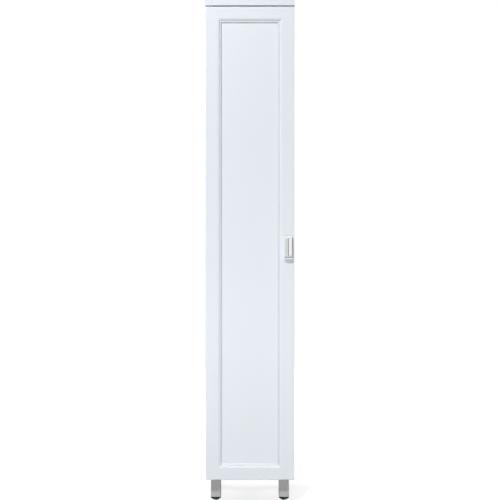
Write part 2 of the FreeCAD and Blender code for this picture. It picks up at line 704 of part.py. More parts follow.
def foot(x, y):
    # A turned glide, narrower at its neck, on a threaded stud
    edges = [
        Vector(x, y, 0),
        Vector(x + FOOT_RADIUS - FOOT_CHAMFER, y, 0),
        Vector(x + FOOT_RADIUS, y, FOOT_CHAMFER),
        Vector(x + FOOT_RADIUS, y, FOOT_HEIGHT / 2),
        Vector(x + FOOT_NECK, y, FOOT_HEIGHT),
        Vector(x + STUD_RADIUS, y, FOOT_HEIGHT),
        Vector(x + STUD_RADIUS, y, FOOT_HEIGHT + STUD_LENGTH - FOOT_CHAMFER),
        Vector(x + STUD_RADIUS - FOOT_CHAMFER, y, FOOT_HEIGHT + STUD_LENGTH),
        Vector(x, y, FOOT_HEIGHT + STUD_LENGTH),
    ]
    face = Part.Face(Part.makePolygon(edges + edges[:1]))
    return face.revolve(Vector(x, y, 0), UP, 360)


# Door
MOULDING = OVOLO_WIDTH + STEP_WIDTH + BEVEL_WIDTH
RECESS = QUIRK + OVOLO_DROP + BEVEL_DROP


def moulding_cut(start, along, inward, length):
    # The routed profile along one side of the frame, mitred at both ends
    def at(across, drop):
        return start + inward * across + INWARD * drop

    above = -DOOR_ROUND
    ovolo_end = at(OVOLO_WIDTH, QUIRK + OVOLO_DROP)
    bulge = at(OVOLO_WIDTH / 2 + OVOLO_BULGE / 2, QUIRK + OVOLO_DROP / 2 - OVOLO_BULGE)
    edges = [
        Part.LineSegment(at(0, above), at(0, QUIRK)).toShape(),
        Part.Arc(at(0, QUIRK), bulge, ovolo_end).toShape(),
        Part.LineSegment(ovolo_end, at(OVOLO_WIDTH + STEP_WIDTH, QUIRK + OVOLO_DROP)).toShape(),
        Part.LineSegment(at(OVOLO_WIDTH + STEP_WIDTH, QUIRK + OVOLO_DROP), at(MOULDING, RECESS)).toShape(),
        Part.LineSegment(at(MOULDING, RECESS), at(MOULDING, above)).toShape(),
        Part.LineSegment(at(MOULDING, above), at(0, above)).toShape(),
    ]
    run = Part.Face(Part.Wire(edges)).extrude(along * length)
    low = start + INWARD * above
    mitre = [
        low,
        low + along * length,
        low + along * (length - MOULDING) + inward * MOULDING,
        low + along * MOULDING + inward * MOULDING,
    ]
    return run.common(prism(mitre, INWARD * (RECESS - above)))


def door_recess():
    x0, x1 = DOOR_LEFT + STILE, DOOR_RIGHT - STILE
    z0, z1 = DOOR_BOTTOM + RAIL, DOOR_TOP - RAIL
    corners = [
        (Vector(x0, DOOR_FRONT, z0), RIGHT, UP, x1 - x0),
        (Vector(x1, DOOR_FRONT, z0), UP, -RIGHT, z1 - z0),
        (Vector(x1, DOOR_FRONT, z1), -RIGHT, -UP, x1 - x0),
        (Vector(x0, DOOR_FRONT, z1), -UP, RIGHT, z1 - z0),
    ]
    low = Vector(x0 + MOULDING, DOOR_FRONT - DOOR_ROUND, z0 + MOULDING)
    field = Part.makeBox(x1 - x0 - 2 * MOULDING, RECESS + DOOR_ROUND, z1 - z0 - 2 * MOULDING, low)
    return join([field] + [moulding_cut(*c) for c in corners])


HANDLE_SCREW_HEIGHTS = [HANDLE_CENTRE + s * HANDLE_SCREW_SPACING / 2 for s in (-1, 1)]


def handle_holes(y, depth):
    seats = [Vector(HANDLE_X, y, z) for z in HANDLE_SCREW_HEIGHTS]
    return [screw_hole(seat, -INWARD, depth) for seat in seats]


def door():
    board = box(DOOR_LEFT, DOOR_RIGHT, DOOR_FRONT, DOOR_BACK, DOOR_BOTTOM, DOOR_TOP)
    front_edges = [e for e in board.Edges if e.BoundBox.YMax < DOOR_FRONT + DOOR_ROUND]
    panel = board.makeFillet(DOOR_ROUND, front_edges).cut(door_recess())
    holes = handle_holes(DOOR_BACK, DOOR_THICKNESS)
    for z in HINGE_HEIGHTS:
        holes += cup_pocket(z)
    return panel.cut(holes)


def bow_bends(block, front):
    # The two edges across the bow, at its front
    return [e for e in block.Edges if e.BoundBox.YMax < front + NEAR and e.BoundBox.ZLength < NEAR]


def handle():
    x0, x1 = HANDLE_X - HANDLE_WIDTH / 2, HANDLE_X + HANDLE_WIDTH / 2
    z0, z1 = HANDLE_CENTRE - HANDLE_LENGTH / 2, HANDLE_CENTRE + HANDLE_LENGTH / 2
    block = box(x0, x1, HANDLE_FRONT, DOOR_FRONT, z0, z1)
    bow = block.makeFillet(HANDLE_BEND, bow_bends(block, HANDLE_FRONT))
    inside = HANDLE_FRONT + HANDLE_GRIP
    gap = box(x0, x1, inside, DOOR_FRONT, z0 + HANDLE_FOOT, z1 - HANDLE_FOOT)
    bow = bow.cut(gap.makeFillet(HANDLE_INNER_BEND, bow_bends(gap, inside)))
    cuts = []
    for edge in (x0, x1):
        ridge = [(HANDLE_X, HANDLE_FRONT), (edge, HANDLE_FRONT), (edge, HANDLE_FRONT + HANDLE_FACET)]
        cuts.append(prism([Vector(x, y, z0) for x, y in ridge], UP * HANDLE_LENGTH))
    half_groove = HANDLE_GROOVE / 2
    groove_end = HANDLE_FRONT + HANDLE_GROOVE_DEPTH
    cuts.append(box(HANDLE_X - half_groove, HANDLE_X + half_groove, HANDLE_FRONT, groove_end, z0, z1))
    return bow.cut(cuts + handle_holes(DOOR_FRONT, HANDLE_SCREW_BITE))


def handle_screw(z):
    return screw(Vector(HANDLE_X, DOOR_BACK, z), -INWARD, DOOR_THICKNESS + HANDLE_SCREW_BITE)


def door_bumper(z):
    base = Vector(SIDE_MIDDLE, DOOR_BACK, z)
    pad = rod(base, INWARD, BUMPER_THICKNESS, BUMPER_RADIUS)
    top_edge = [e for e in pad.Edges if e.BoundBox.YMin > DOOR_BACK + BUMPER_THICKNESS / 2]
    return pad.makeFillet(BUMPER_THICKNESS / 2, top_edge)


os.makedirs("parts", exist_ok=True)

# Carcass
save("top_board", [top_board()])
save("bottom_board", [bottom_board()])
save("left_side", [side_board(-1)])
save("right_side", [side_board(1)])
save("back_panel", [back_panel()])
save("fixed_shelf", [fixed_shelf()])
save("loose_shelf", [loose_shelf()])
save("edge_bands", edge_bands())
save("cam_locks", [cam_lock(j) for j in CAM_JOINTS])
save("cam_bolts", [cam_bolt(j) for j in CAM_JOINTS])
save("dowels", [dowel(j) for j in DOWEL_JOINTS])
save("shelf_pins", [shelf_pin(side, y) for side in (-1, 1) for y in PIN_Y])
save("back_nails", [back_nail(x, z) for x, z in nail_places()])
save("wall_brackets", [wall_bracket(x) for x in BRACKET_CENTRES])
save("bracket_screws", [screw(p, UP, SCREW_LENGTH) for p in BRACKET_SEATS])

# Legs and feet
for place, (x, y) in LEG_PLACES.items():
    save("leg_" + place, [leg(x, y)])
    save("foot_" + place, [foot(x, y)])
save("leg_plugs", [leg_plug(x, y) for x, y in LEG_PLACES.values()])
save("leg_screws", [screw(p, UP, SCREW_LENGTH) for p in LEG_SCREW_SEATS])

# Door
save("door", [door()])
save("handle", [handle()])
save("handle_screws", [handle_screw(z) for z in HANDLE_SCREW_HEIGHTS])
save("door_bumpers", [door_bumper(z) for z in (DOOR_BOTTOM + BUMPER_END, DOOR_TOP - BUMPER_END)])

# Hinges
save("hinge_cups", [hinge_cup(z) for z in HINGE_HEIGHTS])
CUP_SEATS = flat_list(cup_screw_seats(z) for z in HINGE_HEIGHTS)
save("hinge_cup_screws", [screw(p, -INWARD, SCREW_LENGTH) for p in CUP_SEATS])
save("hinge_cup_pins", flat_list(cup_pins(z) for z in HINGE_HEIGHTS))
save("hinge_main_links", flat_list(main_links(z) for z in HINGE_HEIGHTS))
save("hinge_guide_links", [guide_link(z) for z in HINGE_HEIGHTS])
save("hinge_arm_pins", flat_list(arm_pins(z) for z in HINGE_HEIGHTS))
save("hinge_arms", [hinge_arm(z) for z in HINGE_HEIGHTS])
save("hinge_arm_screws", flat_list(arm_screws(z) for z in HINGE_HEIGHTS))
save("hinge_plates", [hinge_plate(z) for z in HINGE_HEIGHTS])
save("hinge_plate_screws", [screw(p, -RIGHT, SCREW_LENGTH) for p in PLATE_SEATS])
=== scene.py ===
import math

import bpy
import numpy as np
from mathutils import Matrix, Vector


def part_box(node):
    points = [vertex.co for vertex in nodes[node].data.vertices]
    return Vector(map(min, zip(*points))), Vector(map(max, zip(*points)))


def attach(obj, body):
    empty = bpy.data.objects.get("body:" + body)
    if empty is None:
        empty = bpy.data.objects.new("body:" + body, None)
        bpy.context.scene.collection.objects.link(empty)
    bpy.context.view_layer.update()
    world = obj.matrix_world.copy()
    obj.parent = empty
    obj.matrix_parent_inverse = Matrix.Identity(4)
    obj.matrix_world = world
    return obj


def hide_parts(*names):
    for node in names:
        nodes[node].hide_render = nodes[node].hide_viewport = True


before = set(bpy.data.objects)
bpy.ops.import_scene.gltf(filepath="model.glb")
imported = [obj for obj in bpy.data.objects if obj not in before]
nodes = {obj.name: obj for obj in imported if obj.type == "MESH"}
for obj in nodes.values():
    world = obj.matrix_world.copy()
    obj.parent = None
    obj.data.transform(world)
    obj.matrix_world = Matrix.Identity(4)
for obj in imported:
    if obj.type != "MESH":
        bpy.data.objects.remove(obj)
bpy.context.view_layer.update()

scene = bpy.context.scene
print("frame loaded:", len(nodes), "pieces")


class Wire:  # one socket of a shader tree, so that shader maths reads as plain sums
    def __init__(self, tree, socket=None):
        self.tree = tree
        self.socket = socket

    def node(self, kind, settings=None, inputs=None, output=0):
        made = self.tree.nodes.new(kind)
        for name, value in (settings or {}).items():
            setattr(made, name, value)
        for name, value in (inputs or {}).items():
            if isinstance(value, Wire):
                self.tree.links.new(value.socket, made.inputs[name])
            else:
                made.inputs[name].default_value = value
        return Wire(self.tree, made.outputs[output]) if len(made.outputs) else None

    def other(self, name):  # another output of the same node
        return Wire(self.tree, self.socket.node.outputs[name])

    def maths(self, operation, first, second=0.0):
        return self.node("ShaderNodeMath", {"operation": operation}, {0: first, 1: second})

    def __add__(self, other):
        return self.maths("ADD", self, other)

    def __radd__(self, other):
        return self.maths("ADD", other, self)

    def __sub__(self, other):
        return self.maths("SUBTRACT", self, other)

    def __rsub__(self, other):
        return self.maths("SUBTRACT", other, self)

    def __mul__(self, other):
        return self.maths("MULTIPLY", self, other)

    def __rmul__(self, other):
        return self.maths("MULTIPLY", other, self)

    def __gt__(self, other):
        return self.maths("GREATER_THAN", self, other)

    def __lt__(self, other):
        return self.maths("LESS_THAN", self, other)

    def __abs__(self):
        return self.maths("ABSOLUTE", self)


# what all the finishes share

def blank(name):  # an empty material and a wire into its tree
    made = bpy.data.materials.new(name)
    made.use_nodes = True
    made.node_tree.nodes.clear()
    return made, Wire(made.node_tree)


def surface(made, wire, fixed, varying):  # numbers that stay the same sit on the shader's own sockets
    shader = wire.node("ShaderNodeBsdfPrincipled", {}, {**fixed, **varying})
    wire.node("ShaderNodeOutputMaterial", {}, {"Surface": shader})
    return made


def place(wire):  # the point on the piece, in metres
    return wire.node("ShaderNodeTexCoord", output="Object")


def axes(wire):  # the same point as three numbers, of which this one is X
    return wire.node("ShaderNodeSeparateXYZ", {}, {"Vector": place(wire)}, "X")


def grain(wire, scale, detail=2.0, stretch=(1, 1, 1)):  # noise from 0 to 1
    point = wire.node("ShaderNodeMapping", {}, {"Vector": place(wire), "Scale": stretch})
    return wire.node("ShaderNodeTexNoise", {}, {"Vector": point, "Scale": scale, "Detail": detail})


def cells(wire, scale):  # crystals, as the distance from the middle of each
    values = {"Vector": place(wire), "Scale": scale}
    return wire.node("ShaderNodeTexVoronoi", {"feature": "F1"}, values, "Distance")


def sway(noise, reach):  # noise from 0 to 1 turned into a change up and down by half of reach
    return (noise - 0.5) * reach


def steps(wire, value, low, high):  # 0 below low, 1 above high, smooth between
    settings = {"interpolation_type": "SMOOTHSTEP"}
    return wire.node("ShaderNodeMapRange", settings, {"Value": value, "From Min": low, "From Max": high})


def tint(wire, mask, low, high):  # low where the mask is 0, high where it is 1
    return wire.node("ShaderNodeMix", {"data_type": "RGBA"}, {0: mask, 6: low, 7: high}, 2)


def relief(wire, height, depth):  # height 0 to 1 over a depth in metres
    return wire.node("ShaderNodeBump", {}, {"Height": height, "Distance": depth, "Strength": 1.0})


def dress(finish, *names):  # give CAD pieces a finish
    for name in names:
        materials = nodes[name].data.materials
        materials.clear()
        materials.append(finish)


# white satin foil on the door, with painted shade in its routed creases

foil = {
    "pale": (0.815, 0.856, 0.905, 1),
    "deep": (0.802, 0.844, 0.895, 1),
    "clouds": 3.0,  # patches to the metre
    "peel": 520.0,  # ripples to the metre
    "peelDepth": 0.00003,
    "peelGloss": 0.06,  # how far the ripples change the roughness
    "roughness": 0.36,
    "ior": 1.46,
    "wipes": 22.0,  # faint wiping marks to the metre
    "wipeDetail": 4.0,
    "wipeStretch": (1.0, 1.0, 0.25),
    "wipeGloss": 0.10,
    "paintedCreaseShade": (0.585, 0.622, 0.672, 1),  # painted shade in the routed creases
    "creaseShare": 0.55,  # how far the upright creases take that shade
    "endShare": 0.08,  # and those along the rails
    "stile": 0.050,
    "rail": 0.0475,
    "creaseFrom": (0.0048, 0.0085),  # metres in from the frame's edge
    "creaseTo": (0.0134, 0.0147),
    "creaseDeep": 0.0125,  # the creases lie within this of the front
}


def makeFoil():
    made, wire = blank("satinFoil")
    clouds = grain(wire, foil["clouds"])
    peel = grain(wire, foil["peel"])
    wipes = grain(wire, foil["wipes"], foil["wipeDetail"], foil["wipeStretch"])
    low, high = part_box("door")
    middle = (low + high) / 2
    x = axes(wire)
    inStile = high.x - middle.x - foil["stile"] - abs(x - middle.x)
    inRail = high.z - middle.z - foil["rail"] - abs(x.other("Z") - middle.z)
    inset = wire.maths("MINIMUM", inStile, inRail)
    # painted shade: a darker colour along the routed creases of the frame, strongest on the uprights, where
    # real shade falls
    paintedCreaseShade = steps(wire, inset, *foil["creaseFrom"]) * (1 - steps(wire, inset, *foil["creaseTo"]))
    upright = foil["endShare"] + (inStile < inRail) * (foil["creaseShare"] - foil["endShare"])
    paintedCreaseShade = paintedCreaseShade * upright * (x.other("Y") < low.y + foil["creaseDeep"])
    plain = tint(wire, clouds, foil["deep"], foil["pale"])
    varying = {
        "Base Color": tint(wire, paintedCreaseShade, plain, foil["paintedCreaseShade"]),
        "Roughness": foil["roughness"] + sway(wipes, foil["wipeGloss"]) + sway(peel, foil["peelGloss"]),
        "Normal": relief(wire, peel, foil["peelDepth"]),
    }
    return surface(made, wire, {"IOR": foil["ior"]}, varying)


# white melamine on the boards, with its fine pearl

melamine = {
    "pale": (0.805, 0.848, 0.900, 1),
    "deep": (0.790, 0.834, 0.888, 1),
    "clouds": 4.0,
    "pearl": 900.0,  # bumps to the metre
    "pearlDetail": 1.0,
    "pearlDepth": 0.00004,
    "pearlGloss": 0.14,
    "roughness": 0.44,
    "ior": 1.5,
}


def makeMelamine():
    made, wire = blank("pearlMelamine")
    clouds = grain(wire, melamine["clouds"])
    pearl = grain(wire, melamine["pearl"], melamine["pearlDetail"])
    varying = {
        "Base Color": tint(wire, clouds, melamine["deep"], melamine["pale"]),
        "Roughness": melamine["roughness"] + sway(pearl, melamine["pearlGloss"]),
        "Normal": relief(wire, pearl, melamine["pearlDepth"]),
    }
    return surface(made, wire, {"IOR": melamine["ior"]}, varying)


# hardboard at the back: white lacquer inside, bare fibre with a screen print outside

hardboard = {
    "lacquer": (0.780, 0.815, 0.850, 1),
    "lacquerDeep": (0.762, 0.797, 0.832, 1),
    "fibre": (0.235, 0.150, 0.088, 1),
    "fibrePale": (0.375, 0.258, 0.160, 1),
    "skin": 0.0002,  # thickness of the lacquer
    "screen": 620.0,  # wires of the screen to the metre
    "screenDepth": 0.00012,
    "screenRelief": 0.6,  # shares of the screen and the fibres in the relief
    "fibreRelief": 0.4,
    "fibres": 160.0,  # fibres to the metre
    "fibreDetail": 6.0,
    "fibreShare": 0.7,  # shares of the fibres and the specks in the colour
    "fibreGloss": 0.1,
    "specks": 14.0,  # blotches to the metre
    "speckDetail": 3.0,
    "speckShare": 0.3,
    "roughness": 0.42,
    "bareRoughness": 0.36,  # more on the bare side
    "ior": 1.48,
}


def makeHardboard():
    made, wire = blank("hardboard")
    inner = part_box("back_panel")[0].y + hardboard["skin"]
    x = axes(wire)
    z = x.other("Z")
    bare = x.other("Y") > inner
    pitch = 2 * math.pi * hardboard["screen"]
    weave = wire.maths("SINE", x * pitch) * wire.maths("SINE", z * pitch) * 0.5 + 0.5
    fibres = grain(wire, hardboard["fibres"], hardboard["fibreDetail"])
    specks = grain(wire, hardboard["specks"], hardboard["speckDetail"])
    mottle = fibres * hardboard["fibreShare"] + specks * hardboard["speckShare"]
    raised = weave * hardboard["screenRelief"] + fibres * hardboard["fibreRelief"]
    rough = hardboard["roughness"] + bare * hardboard["bareRoughness"]
    rough = rough + sway(fibres, hardboard["fibreGloss"])
    outside = tint(wire, mottle, hardboard["fibre"], hardboard["fibrePale"])
    inside = tint(wire, specks, hardboard["lacquerDeep"], hardboard["lacquer"])
    varying = {
        "Base Color": tint(wire, bare, inside, outside),
        "Roughness": rough,
        "Normal": relief(wire, bare * raised, hardboard["screenDepth"]),
    }
    return surface(made, wire, {"IOR": hardboard["ior"]}, varying)


# white edging strip

edging = {
    "pale": (0.812, 0.852, 0.900, 1),
    "deep": (0.794, 0.836, 0.886, 1),
    "clouds": 9.0,
    "ripple": 260.0,  # ripples to the metre
    "rippleDetail": 3.0,
    "rippleDepth": 0.00003,
    "rippleGloss": 0.12,
    "roughness": 0.32,
    "ior": 1.5,
}


def makeEdging():
    made, wire = blank("edging")
    ripple = grain(wire, edging["ripple"], edging["rippleDetail"])
    varying = {
        "Base Color": tint(wire, grain(wire, edging["clouds"]), edging["deep"], edging["pale"]),
        "Roughness": edging["roughness"] + sway(ripple, edging["rippleGloss"]),
        "Normal": relief(wire, ripple, edging["rippleDepth"]),
    }
    return surface(made, wire, {"IOR": edging["ior"]}, varying)


# bright chrome on the handle, painted near black and dulled along its groove as painted shade

chrome = {
    "bright": (0.86, 0.87, 0.885, 1),
    "warm": (0.83, 0.835, 0.845, 1),
    # painted shade: the groove's colour, near black
    "paintedGrooveShade": (0.03, 0.031, 0.034, 1),
    "grooveShadeCore": 0.42,  # share of the groove's width, from its middle, that is painted dark
    "grooveDull": 0.4,  # roughness that it adds
    "roughness": 0.07,
    "smears": 60.0,  # smears to the metre
    "smearDetail": 3.0,
    "smearGloss": 0.05,
    "polish": 700.0,  # polishing lines to the metre
    "polishStretch": (1.0, 1.0, 0.05),
    "polishDepth": 0.000004,
}


def makeChrome():
    made, wire = blank("chrome")
    low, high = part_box("handle")
    middle = (low + high) / 2
    x = axes(wire)
    fromMiddle = abs(x - middle.x)
    fromEnd = high.z - middle.z - abs(x.other("Z") - middle.z)
    # painted shade: the groove along the flat of the grip gets a near-black colour and more roughness
    inGroove = 1 - steps(wire, fromMiddle, bow["groove"] * chrome["grooveShadeCore"], bow["groove"] / 2)
    along = steps(wire, fromEnd, bow["grooveFrom"], bow["grooveFrom"] + bow["grooveRunOut"])
    groove = inGroove * along * (x.other("Y") < low.y + bow["outerBend"])
    lines = grain(wire, chrome["polish"], stretch=chrome["polishStretch"])
    smears = grain(wire, chrome["smears"], chrome["smearDetail"])
    plate = tint(wire, smears, chrome["warm"], chrome["bright"])
    rough = chrome["roughness"] + sway(smears, chrome["smearGloss"]) + groove * chrome["grooveDull"]
    varying = {
        "Base Color": tint(wire, groove, plate, chrome["paintedGrooveShade"]),
        "Roughness": rough,
        "Normal": relief(wire, lines, chrome["polishDepth"]),
    }
    return surface(made, wire, {"Metallic": 1.0}, varying)


# satin metallic coat on the legs

legCoat = {
    "pale": (0.58, 0.581, 0.583, 1),
    "deep": (0.52, 0.521, 0.523, 1),
    "brush": 1100.0,  # brush lines to the metre
    "brushDetail": 3.0,
    "brushStretch": (1.0, 1.0, 0.02),
    "brushDepth": 0.00002,
    "brushShare": 0.6,  # shares of the lines and the clouds in the colour
    "brushGloss": 0.16,
    "clouds": 30.0,
    "cloudShare": 0.4,
    "metal": 0.08,
    "gloss": 0.0,
    "roughness": 0.46,
}


def makeLegCoat():
    made, wire = blank("legCoat")
    brush = grain(wire, legCoat["brush"], legCoat["brushDetail"], legCoat["brushStretch"])
    streaks = brush * legCoat["brushShare"] + grain(wire, legCoat["clouds"]) * legCoat["cloudShare"]
    fixed = {"Metallic": legCoat["metal"], "Specular IOR Level": legCoat["gloss"]}
    varying = {
        "Base Color": tint(wire, streaks, legCoat["deep"], legCoat["pale"]),
        "Roughness": legCoat["roughness"] + sway(brush, legCoat["brushGloss"]),
        "Normal": relief(wire, brush, legCoat["brushDepth"]),
    }
    return surface(made, wire, fixed, varying)


# black moulded plastic on the plugs and feet

blackMould = {
    "pale": (0.010, 0.010, 0.011, 1),
    "deep": (0.005, 0.005, 0.006, 1),
    "gloss": 0.10,
    "spark": 1500.0,  # grain of the mould to the metre
    "sparkDepth": 0.00004,
    "sparkGloss": 0.2,
    "scuffs": 120.0,
    "scuffDetail": 5.0,
    "roughness": 0.55,
    "ior": 1.5,
}


def makeBlackMould():
    made, wire = blank("blackMould")
    spark = grain(wire, blackMould["spark"])
    scuffs = grain(wire, blackMould["scuffs"], blackMould["scuffDetail"])
    fixed = {"IOR": blackMould["ior"], "Specular IOR Level": blackMould["gloss"]}
    varying = {
        "Base Color": tint(wire, scuffs, blackMould["deep"], blackMould["pale"]),
        "Roughness": blackMould["roughness"] + sway(spark, blackMould["sparkGloss"]),
        "Normal": relief(wire, spark, blackMould["sparkDepth"]),
    }
    return surface(made, wire, fixed, varying)


# nickel on the pressed hinge pieces

nickel = {
    "bright": (0.66, 0.645, 0.615, 1),
    "dull": (0.52, 0.505, 0.480, 1),
    "press": 900.0,  # rolling lines to the metre
    "pressDetail": 3.0,
    "pressStretch": (1.0, 1.0, 0.06),
    "pressDepth": 0.000008,
    "pressGloss": 0.08,
    "stain": 90.0,  # stains to the metre
    "stainDetail": 4.0,
    "stainGloss": 0.14,
    "roughness": 0.24,
}


def makeNickel():
    made, wire = blank("nickel")
    press = grain(wire, nickel["press"], nickel["pressDetail"], nickel["pressStretch"])
    stain = grain(wire, nickel["stain"], nickel["stainDetail"])
    rough = nickel["roughness"] + sway(stain, nickel["stainGloss"]) + sway(press, nickel["pressGloss"])
    varying = {
        "Base Color": tint(wire, stain, nickel["dull"], nickel["bright"]),
        "Roughness": rough,
        "Normal": relief(wire, press, nickel["pressDepth"]),
    }
    return surface(made, wire, {"Metallic": 1.0}, varying)


# zinc plate on screws, bolts, brackets and pins

zinc = {
    "bright": (0.62, 0.64, 0.67, 1),
    "dull": (0.44, 0.455, 0.48, 1),
    "spangle": 700.0,  # crystals to the metre
    "spangleDepth": 0.00001,
    "spangleShare": 0.5,  # shares of the crystals and the blotches in the colour
    "blotch": 160.0,  # blotches to the metre
    "blotchDetail": 4.0,
    "blotchShare": 0.5,
    "blotchGloss": 0.2,
    "roughness": 0.34,
}


def makeZinc():
    made, wire = blank("zincPlate")
    spangle = cells(wire, zinc["spangle"])
    blotch = grain(wire, zinc["blotch"], zinc["blotchDetail"])
    mottle = spangle * zinc["spangleShare"] + blotch * zinc["blotchShare"]
    varying = {
        "Base Color": tint(wire, mottle, zinc["dull"], zinc["bright"]),
        "Roughness": zinc["roughness"] + sway(blotch, zinc["blotchGloss"]),
        "Normal": relief(wire, spangle, zinc["spangleDepth"]),
    }
    return surface(made, wire, {"Metallic": 1.0}, varying)


# plain beech for the dowels

beech = {
    "early": (0.60, 0.42, 0.26, 1),
    "late": (0.44, 0.28, 0.155, 1),
    "rings": 420.0,
    "ringBend": 3.0,
    "ringDetail": 3.0,
    "ringShare": 0.6,  # shares of the rings and the pores in the colour
    "pores": 1600.0,  # pores to the metre
    "poreDetail": 3.0,
    "poreStretch": (1.0, 0.2, 1.0),
    "poreDepth": 0.00006,
    "poreShare": 0.4,
    "poreGloss": 0.2,
    "roughness": 0.6,
    "ior": 1.45,
}


def makeBeech():
    made, wire = blank("beech")
    settings = {"wave_type": "RINGS", "rings_direction": "Y"}
    values = {"Vector": place(wire), "Scale": beech["rings"],
              "Distortion": beech["ringBend"], "Detail": beech["ringDetail"]}
    rings = wire.node("ShaderNodeTexWave", settings, values, "Fac")
    pores = grain(wire, beech["pores"], beech["poreDetail"], beech["poreStretch"])
    figure = rings * beech["ringShare"] + pores * beech["poreShare"]
    varying = {
        "Base Color": tint(wire, figure, beech["late"], beech["early"]),
        "Roughness": beech["roughness"] + sway(pores, beech["poreGloss"]),
        "Normal": relief(wire, pores, beech["poreDepth"]),
    }
    return surface(made, wire, {"IOR": beech["ior"]}, varying)


# soft clear pads behind the door

padGel = {
    "pale": (0.80, 0.815, 0.82, 1),
    "deep": (0.70, 0.72, 0.73, 1),
    "swirl": 300.0,  # swirls to the metre
    "swirlDetail": 3.0,
    "swirlDepth": 0.00002,
    "swirlGloss": 0.2,
    "roughness": 0.28,
    "clear": 0.35,  # share of the light that goes through
    "ior": 1.47,
}


def makePadGel():
    made, wire = blank("padGel")
    swirl = grain(wire, padGel["swirl"], padGel["swirlDetail"])
    varying = {
        "Base Color": tint(wire, swirl, padGel["deep"], padGel["pale"]),
        "Roughness": padGel["roughness"] + sway(swirl, padGel["swirlGloss"]),
        "Normal": relief(wire, swirl, padGel["swirlDepth"]),
    }
    return surface(made, wire, {"IOR": padGel["ior"], "Transmission Weight": padGel["clear"]}, varying)


# shared mesh work

def ringMesh(name, grid, finishes, which=None):
    # A surface from a grid of points, rows by columns. Each row is a closed ring, neighbouring rings are
    # joined by quads, and the first and last rings are closed by one flat face each.
    rows, columns = grid.shape[:2]
    index = np.arange(rows * columns).reshape(rows, columns)
    turned = np.roll(index, -1, axis=1)
    quads = np.stack([index[:-1], turned[:-1], turned[1:], index[1:]], axis=-1).reshape(-1, 4)
    faces = quads.tolist() + [index[0, ::-1].tolist(), index[-1].tolist()]
    mesh = bpy.data.meshes.new(name)
    mesh.from_pydata(grid.reshape(-1, 3).tolist(), [], faces)
    smooth = np.ones(len(faces), bool)
    smooth[-2:] = False
    mesh.polygons.foreach_set("use_smooth", smooth)
    for finish in finishes:
        mesh.materials.append(finish)
    if which is not None:
        perFace = np.concatenate([np.repeat(which, columns), which[[0, -1]]])
        mesh.polygons.foreach_set("material_index", perFace.astype(np.int32))
    mesh.update()
    made = bpy.data.objects.new(name, mesh)
    scene.collection.objects.link(made)
    return made


# the bow handle

bow = {
    "grip": 0.0045,  # thickness of the grip
    "foot": 0.014,  # height of each foot at the door
    "outerBend": 0.017,
    "innerBend": 0.008,
    "facet": 0.0014,  # how far each front facet falls away to its edge
    "groove": 0.0023,
    "grooveDepth": 0.0008,
    "grooveFrom": 0.0125,  # where the groove starts, from each end of the handle
    "grooveRunOut": 0.004,  # over which it reaches its depth
    "edge": 0.00145,  # rounding along the edges
    "straight": 12,  # points along a straight stretch
    "curve": 18,  # points along a bend, and across the back
    "facetPoints": 109,  # points across both facets
    "edgePoints": 7,  # points round an edge
}


def archLine(front, back, low, high, radius):
    # Y and Z along an arch: out from the door, a quarter circle, up the grip, a quarter circle, and back.
    run = np.linspace(0, 1, bow["straight"])
    turn = np.linspace(0, math.pi / 2, bow["curve"] + 2)[1:-1]
    knee = front + radius
    y = [back + (knee - back) * run, knee - radius * np.sin(turn), np.full_like(run, front),
         knee - radius * np.cos(turn), knee + (back - knee) * run]
    z = [np.full_like(run, low), low + radius - radius * np.cos(turn),
         low + radius + (high - low - 2 * radius) * run, high - radius + radius * np.sin(turn),
         np.full_like(run, high)]
    return np.stack([np.concatenate(y), np.concatenate(z)], axis=1)


def bowSection(half):
    # Across the handle, as X, a depth in metres, a share of the local thickness, and the groove's share of
    # its full depth: two facets that fall away from a middle groove of cosine shape, quarter-round edges,
    # and a flat back.
    edge = bow["edge"]
    turn = np.linspace(0, math.pi / 2, bow["edgePoints"])
    facets = np.linspace(edge - half, half - edge, bow["facetPoints"])
    fall = bow["facet"] * np.abs(facets) / half
    inGroove = np.clip(facets / bow["groove"], -0.5, 0.5)
    dip = 0.5 * (1 + np.cos(2 * math.pi * inGroove))
    side = edge * (1 - np.cos(turn))
    rise = edge * (1 - np.sin(turn))
    back = np.linspace(half - edge, edge - half, bow["curve"])
    x = np.concatenate([(side - half)[:-1], facets, (half - side)[::-1][1:],
                        (half - side)[:-1], back, (side - half)[::-1][1:-1]])
    depth = np.concatenate([bow["facet"] + rise[:-1], fall, bow["facet"] + rise[::-1][1:],
                            -rise[:-1], np.zeros_like(back), -rise[::-1][1:-1]])
    onFront = 2 * len(turn) - 2 + len(facets)
    share = np.where(np.arange(len(x)) < onFront, 0.0, 1.0)
    groove = np.zeros_like(x)
    groove[len(turn) - 1:len(turn) - 1 + len(facets)] = dip
    return x, depth, share, groove


def makeBow(finish):
    # The section carried along the arch: each point lies between the outer and the inner line of the arch.
    # The groove runs out smoothly before the bends.
    low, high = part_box("handle")
    grip, foot = bow["grip"], bow["foot"]
    outer = archLine(low.y, high.y, low.z, high.z, bow["outerBend"])
    inner = archLine(low.y + grip, high.y, low.z + foot, high.z - foot, bow["innerBend"])
    across = inner - outer
    thick = np.linalg.norm(across, axis=1)
    across = across / thick[:, None]
    x, depth, share, groove = bowSection((high.x - low.x) / 2)
    fromEnd = np.minimum(outer[:, 1] - low.z, high.z - outer[:, 1])
    runOut = np.clip((fromEnd - bow["grooveFrom"]) / bow["grooveRunOut"], 0, 1)
    cut = bow["grooveDepth"] * runOut ** 2 * (3 - 2 * runOut)
    sunk = depth[None, :] + share[None, :] * thick[:, None] + groove[None, :] * cut[:, None]
    grid = np.empty(sunk.shape + (3,))
    grid[..., 0] = (low.x + high.x) / 2 + x[None, :]
    grid[..., 1] = outer[:, :1] + across[:, :1] * sunk
    grid[..., 2] = outer[:, 1:] + across[:, 1:] * sunk
    made = ringMesh("bowHandle", grid, [finish])
    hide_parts("handle")
    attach(made, "door")


# the screw feet

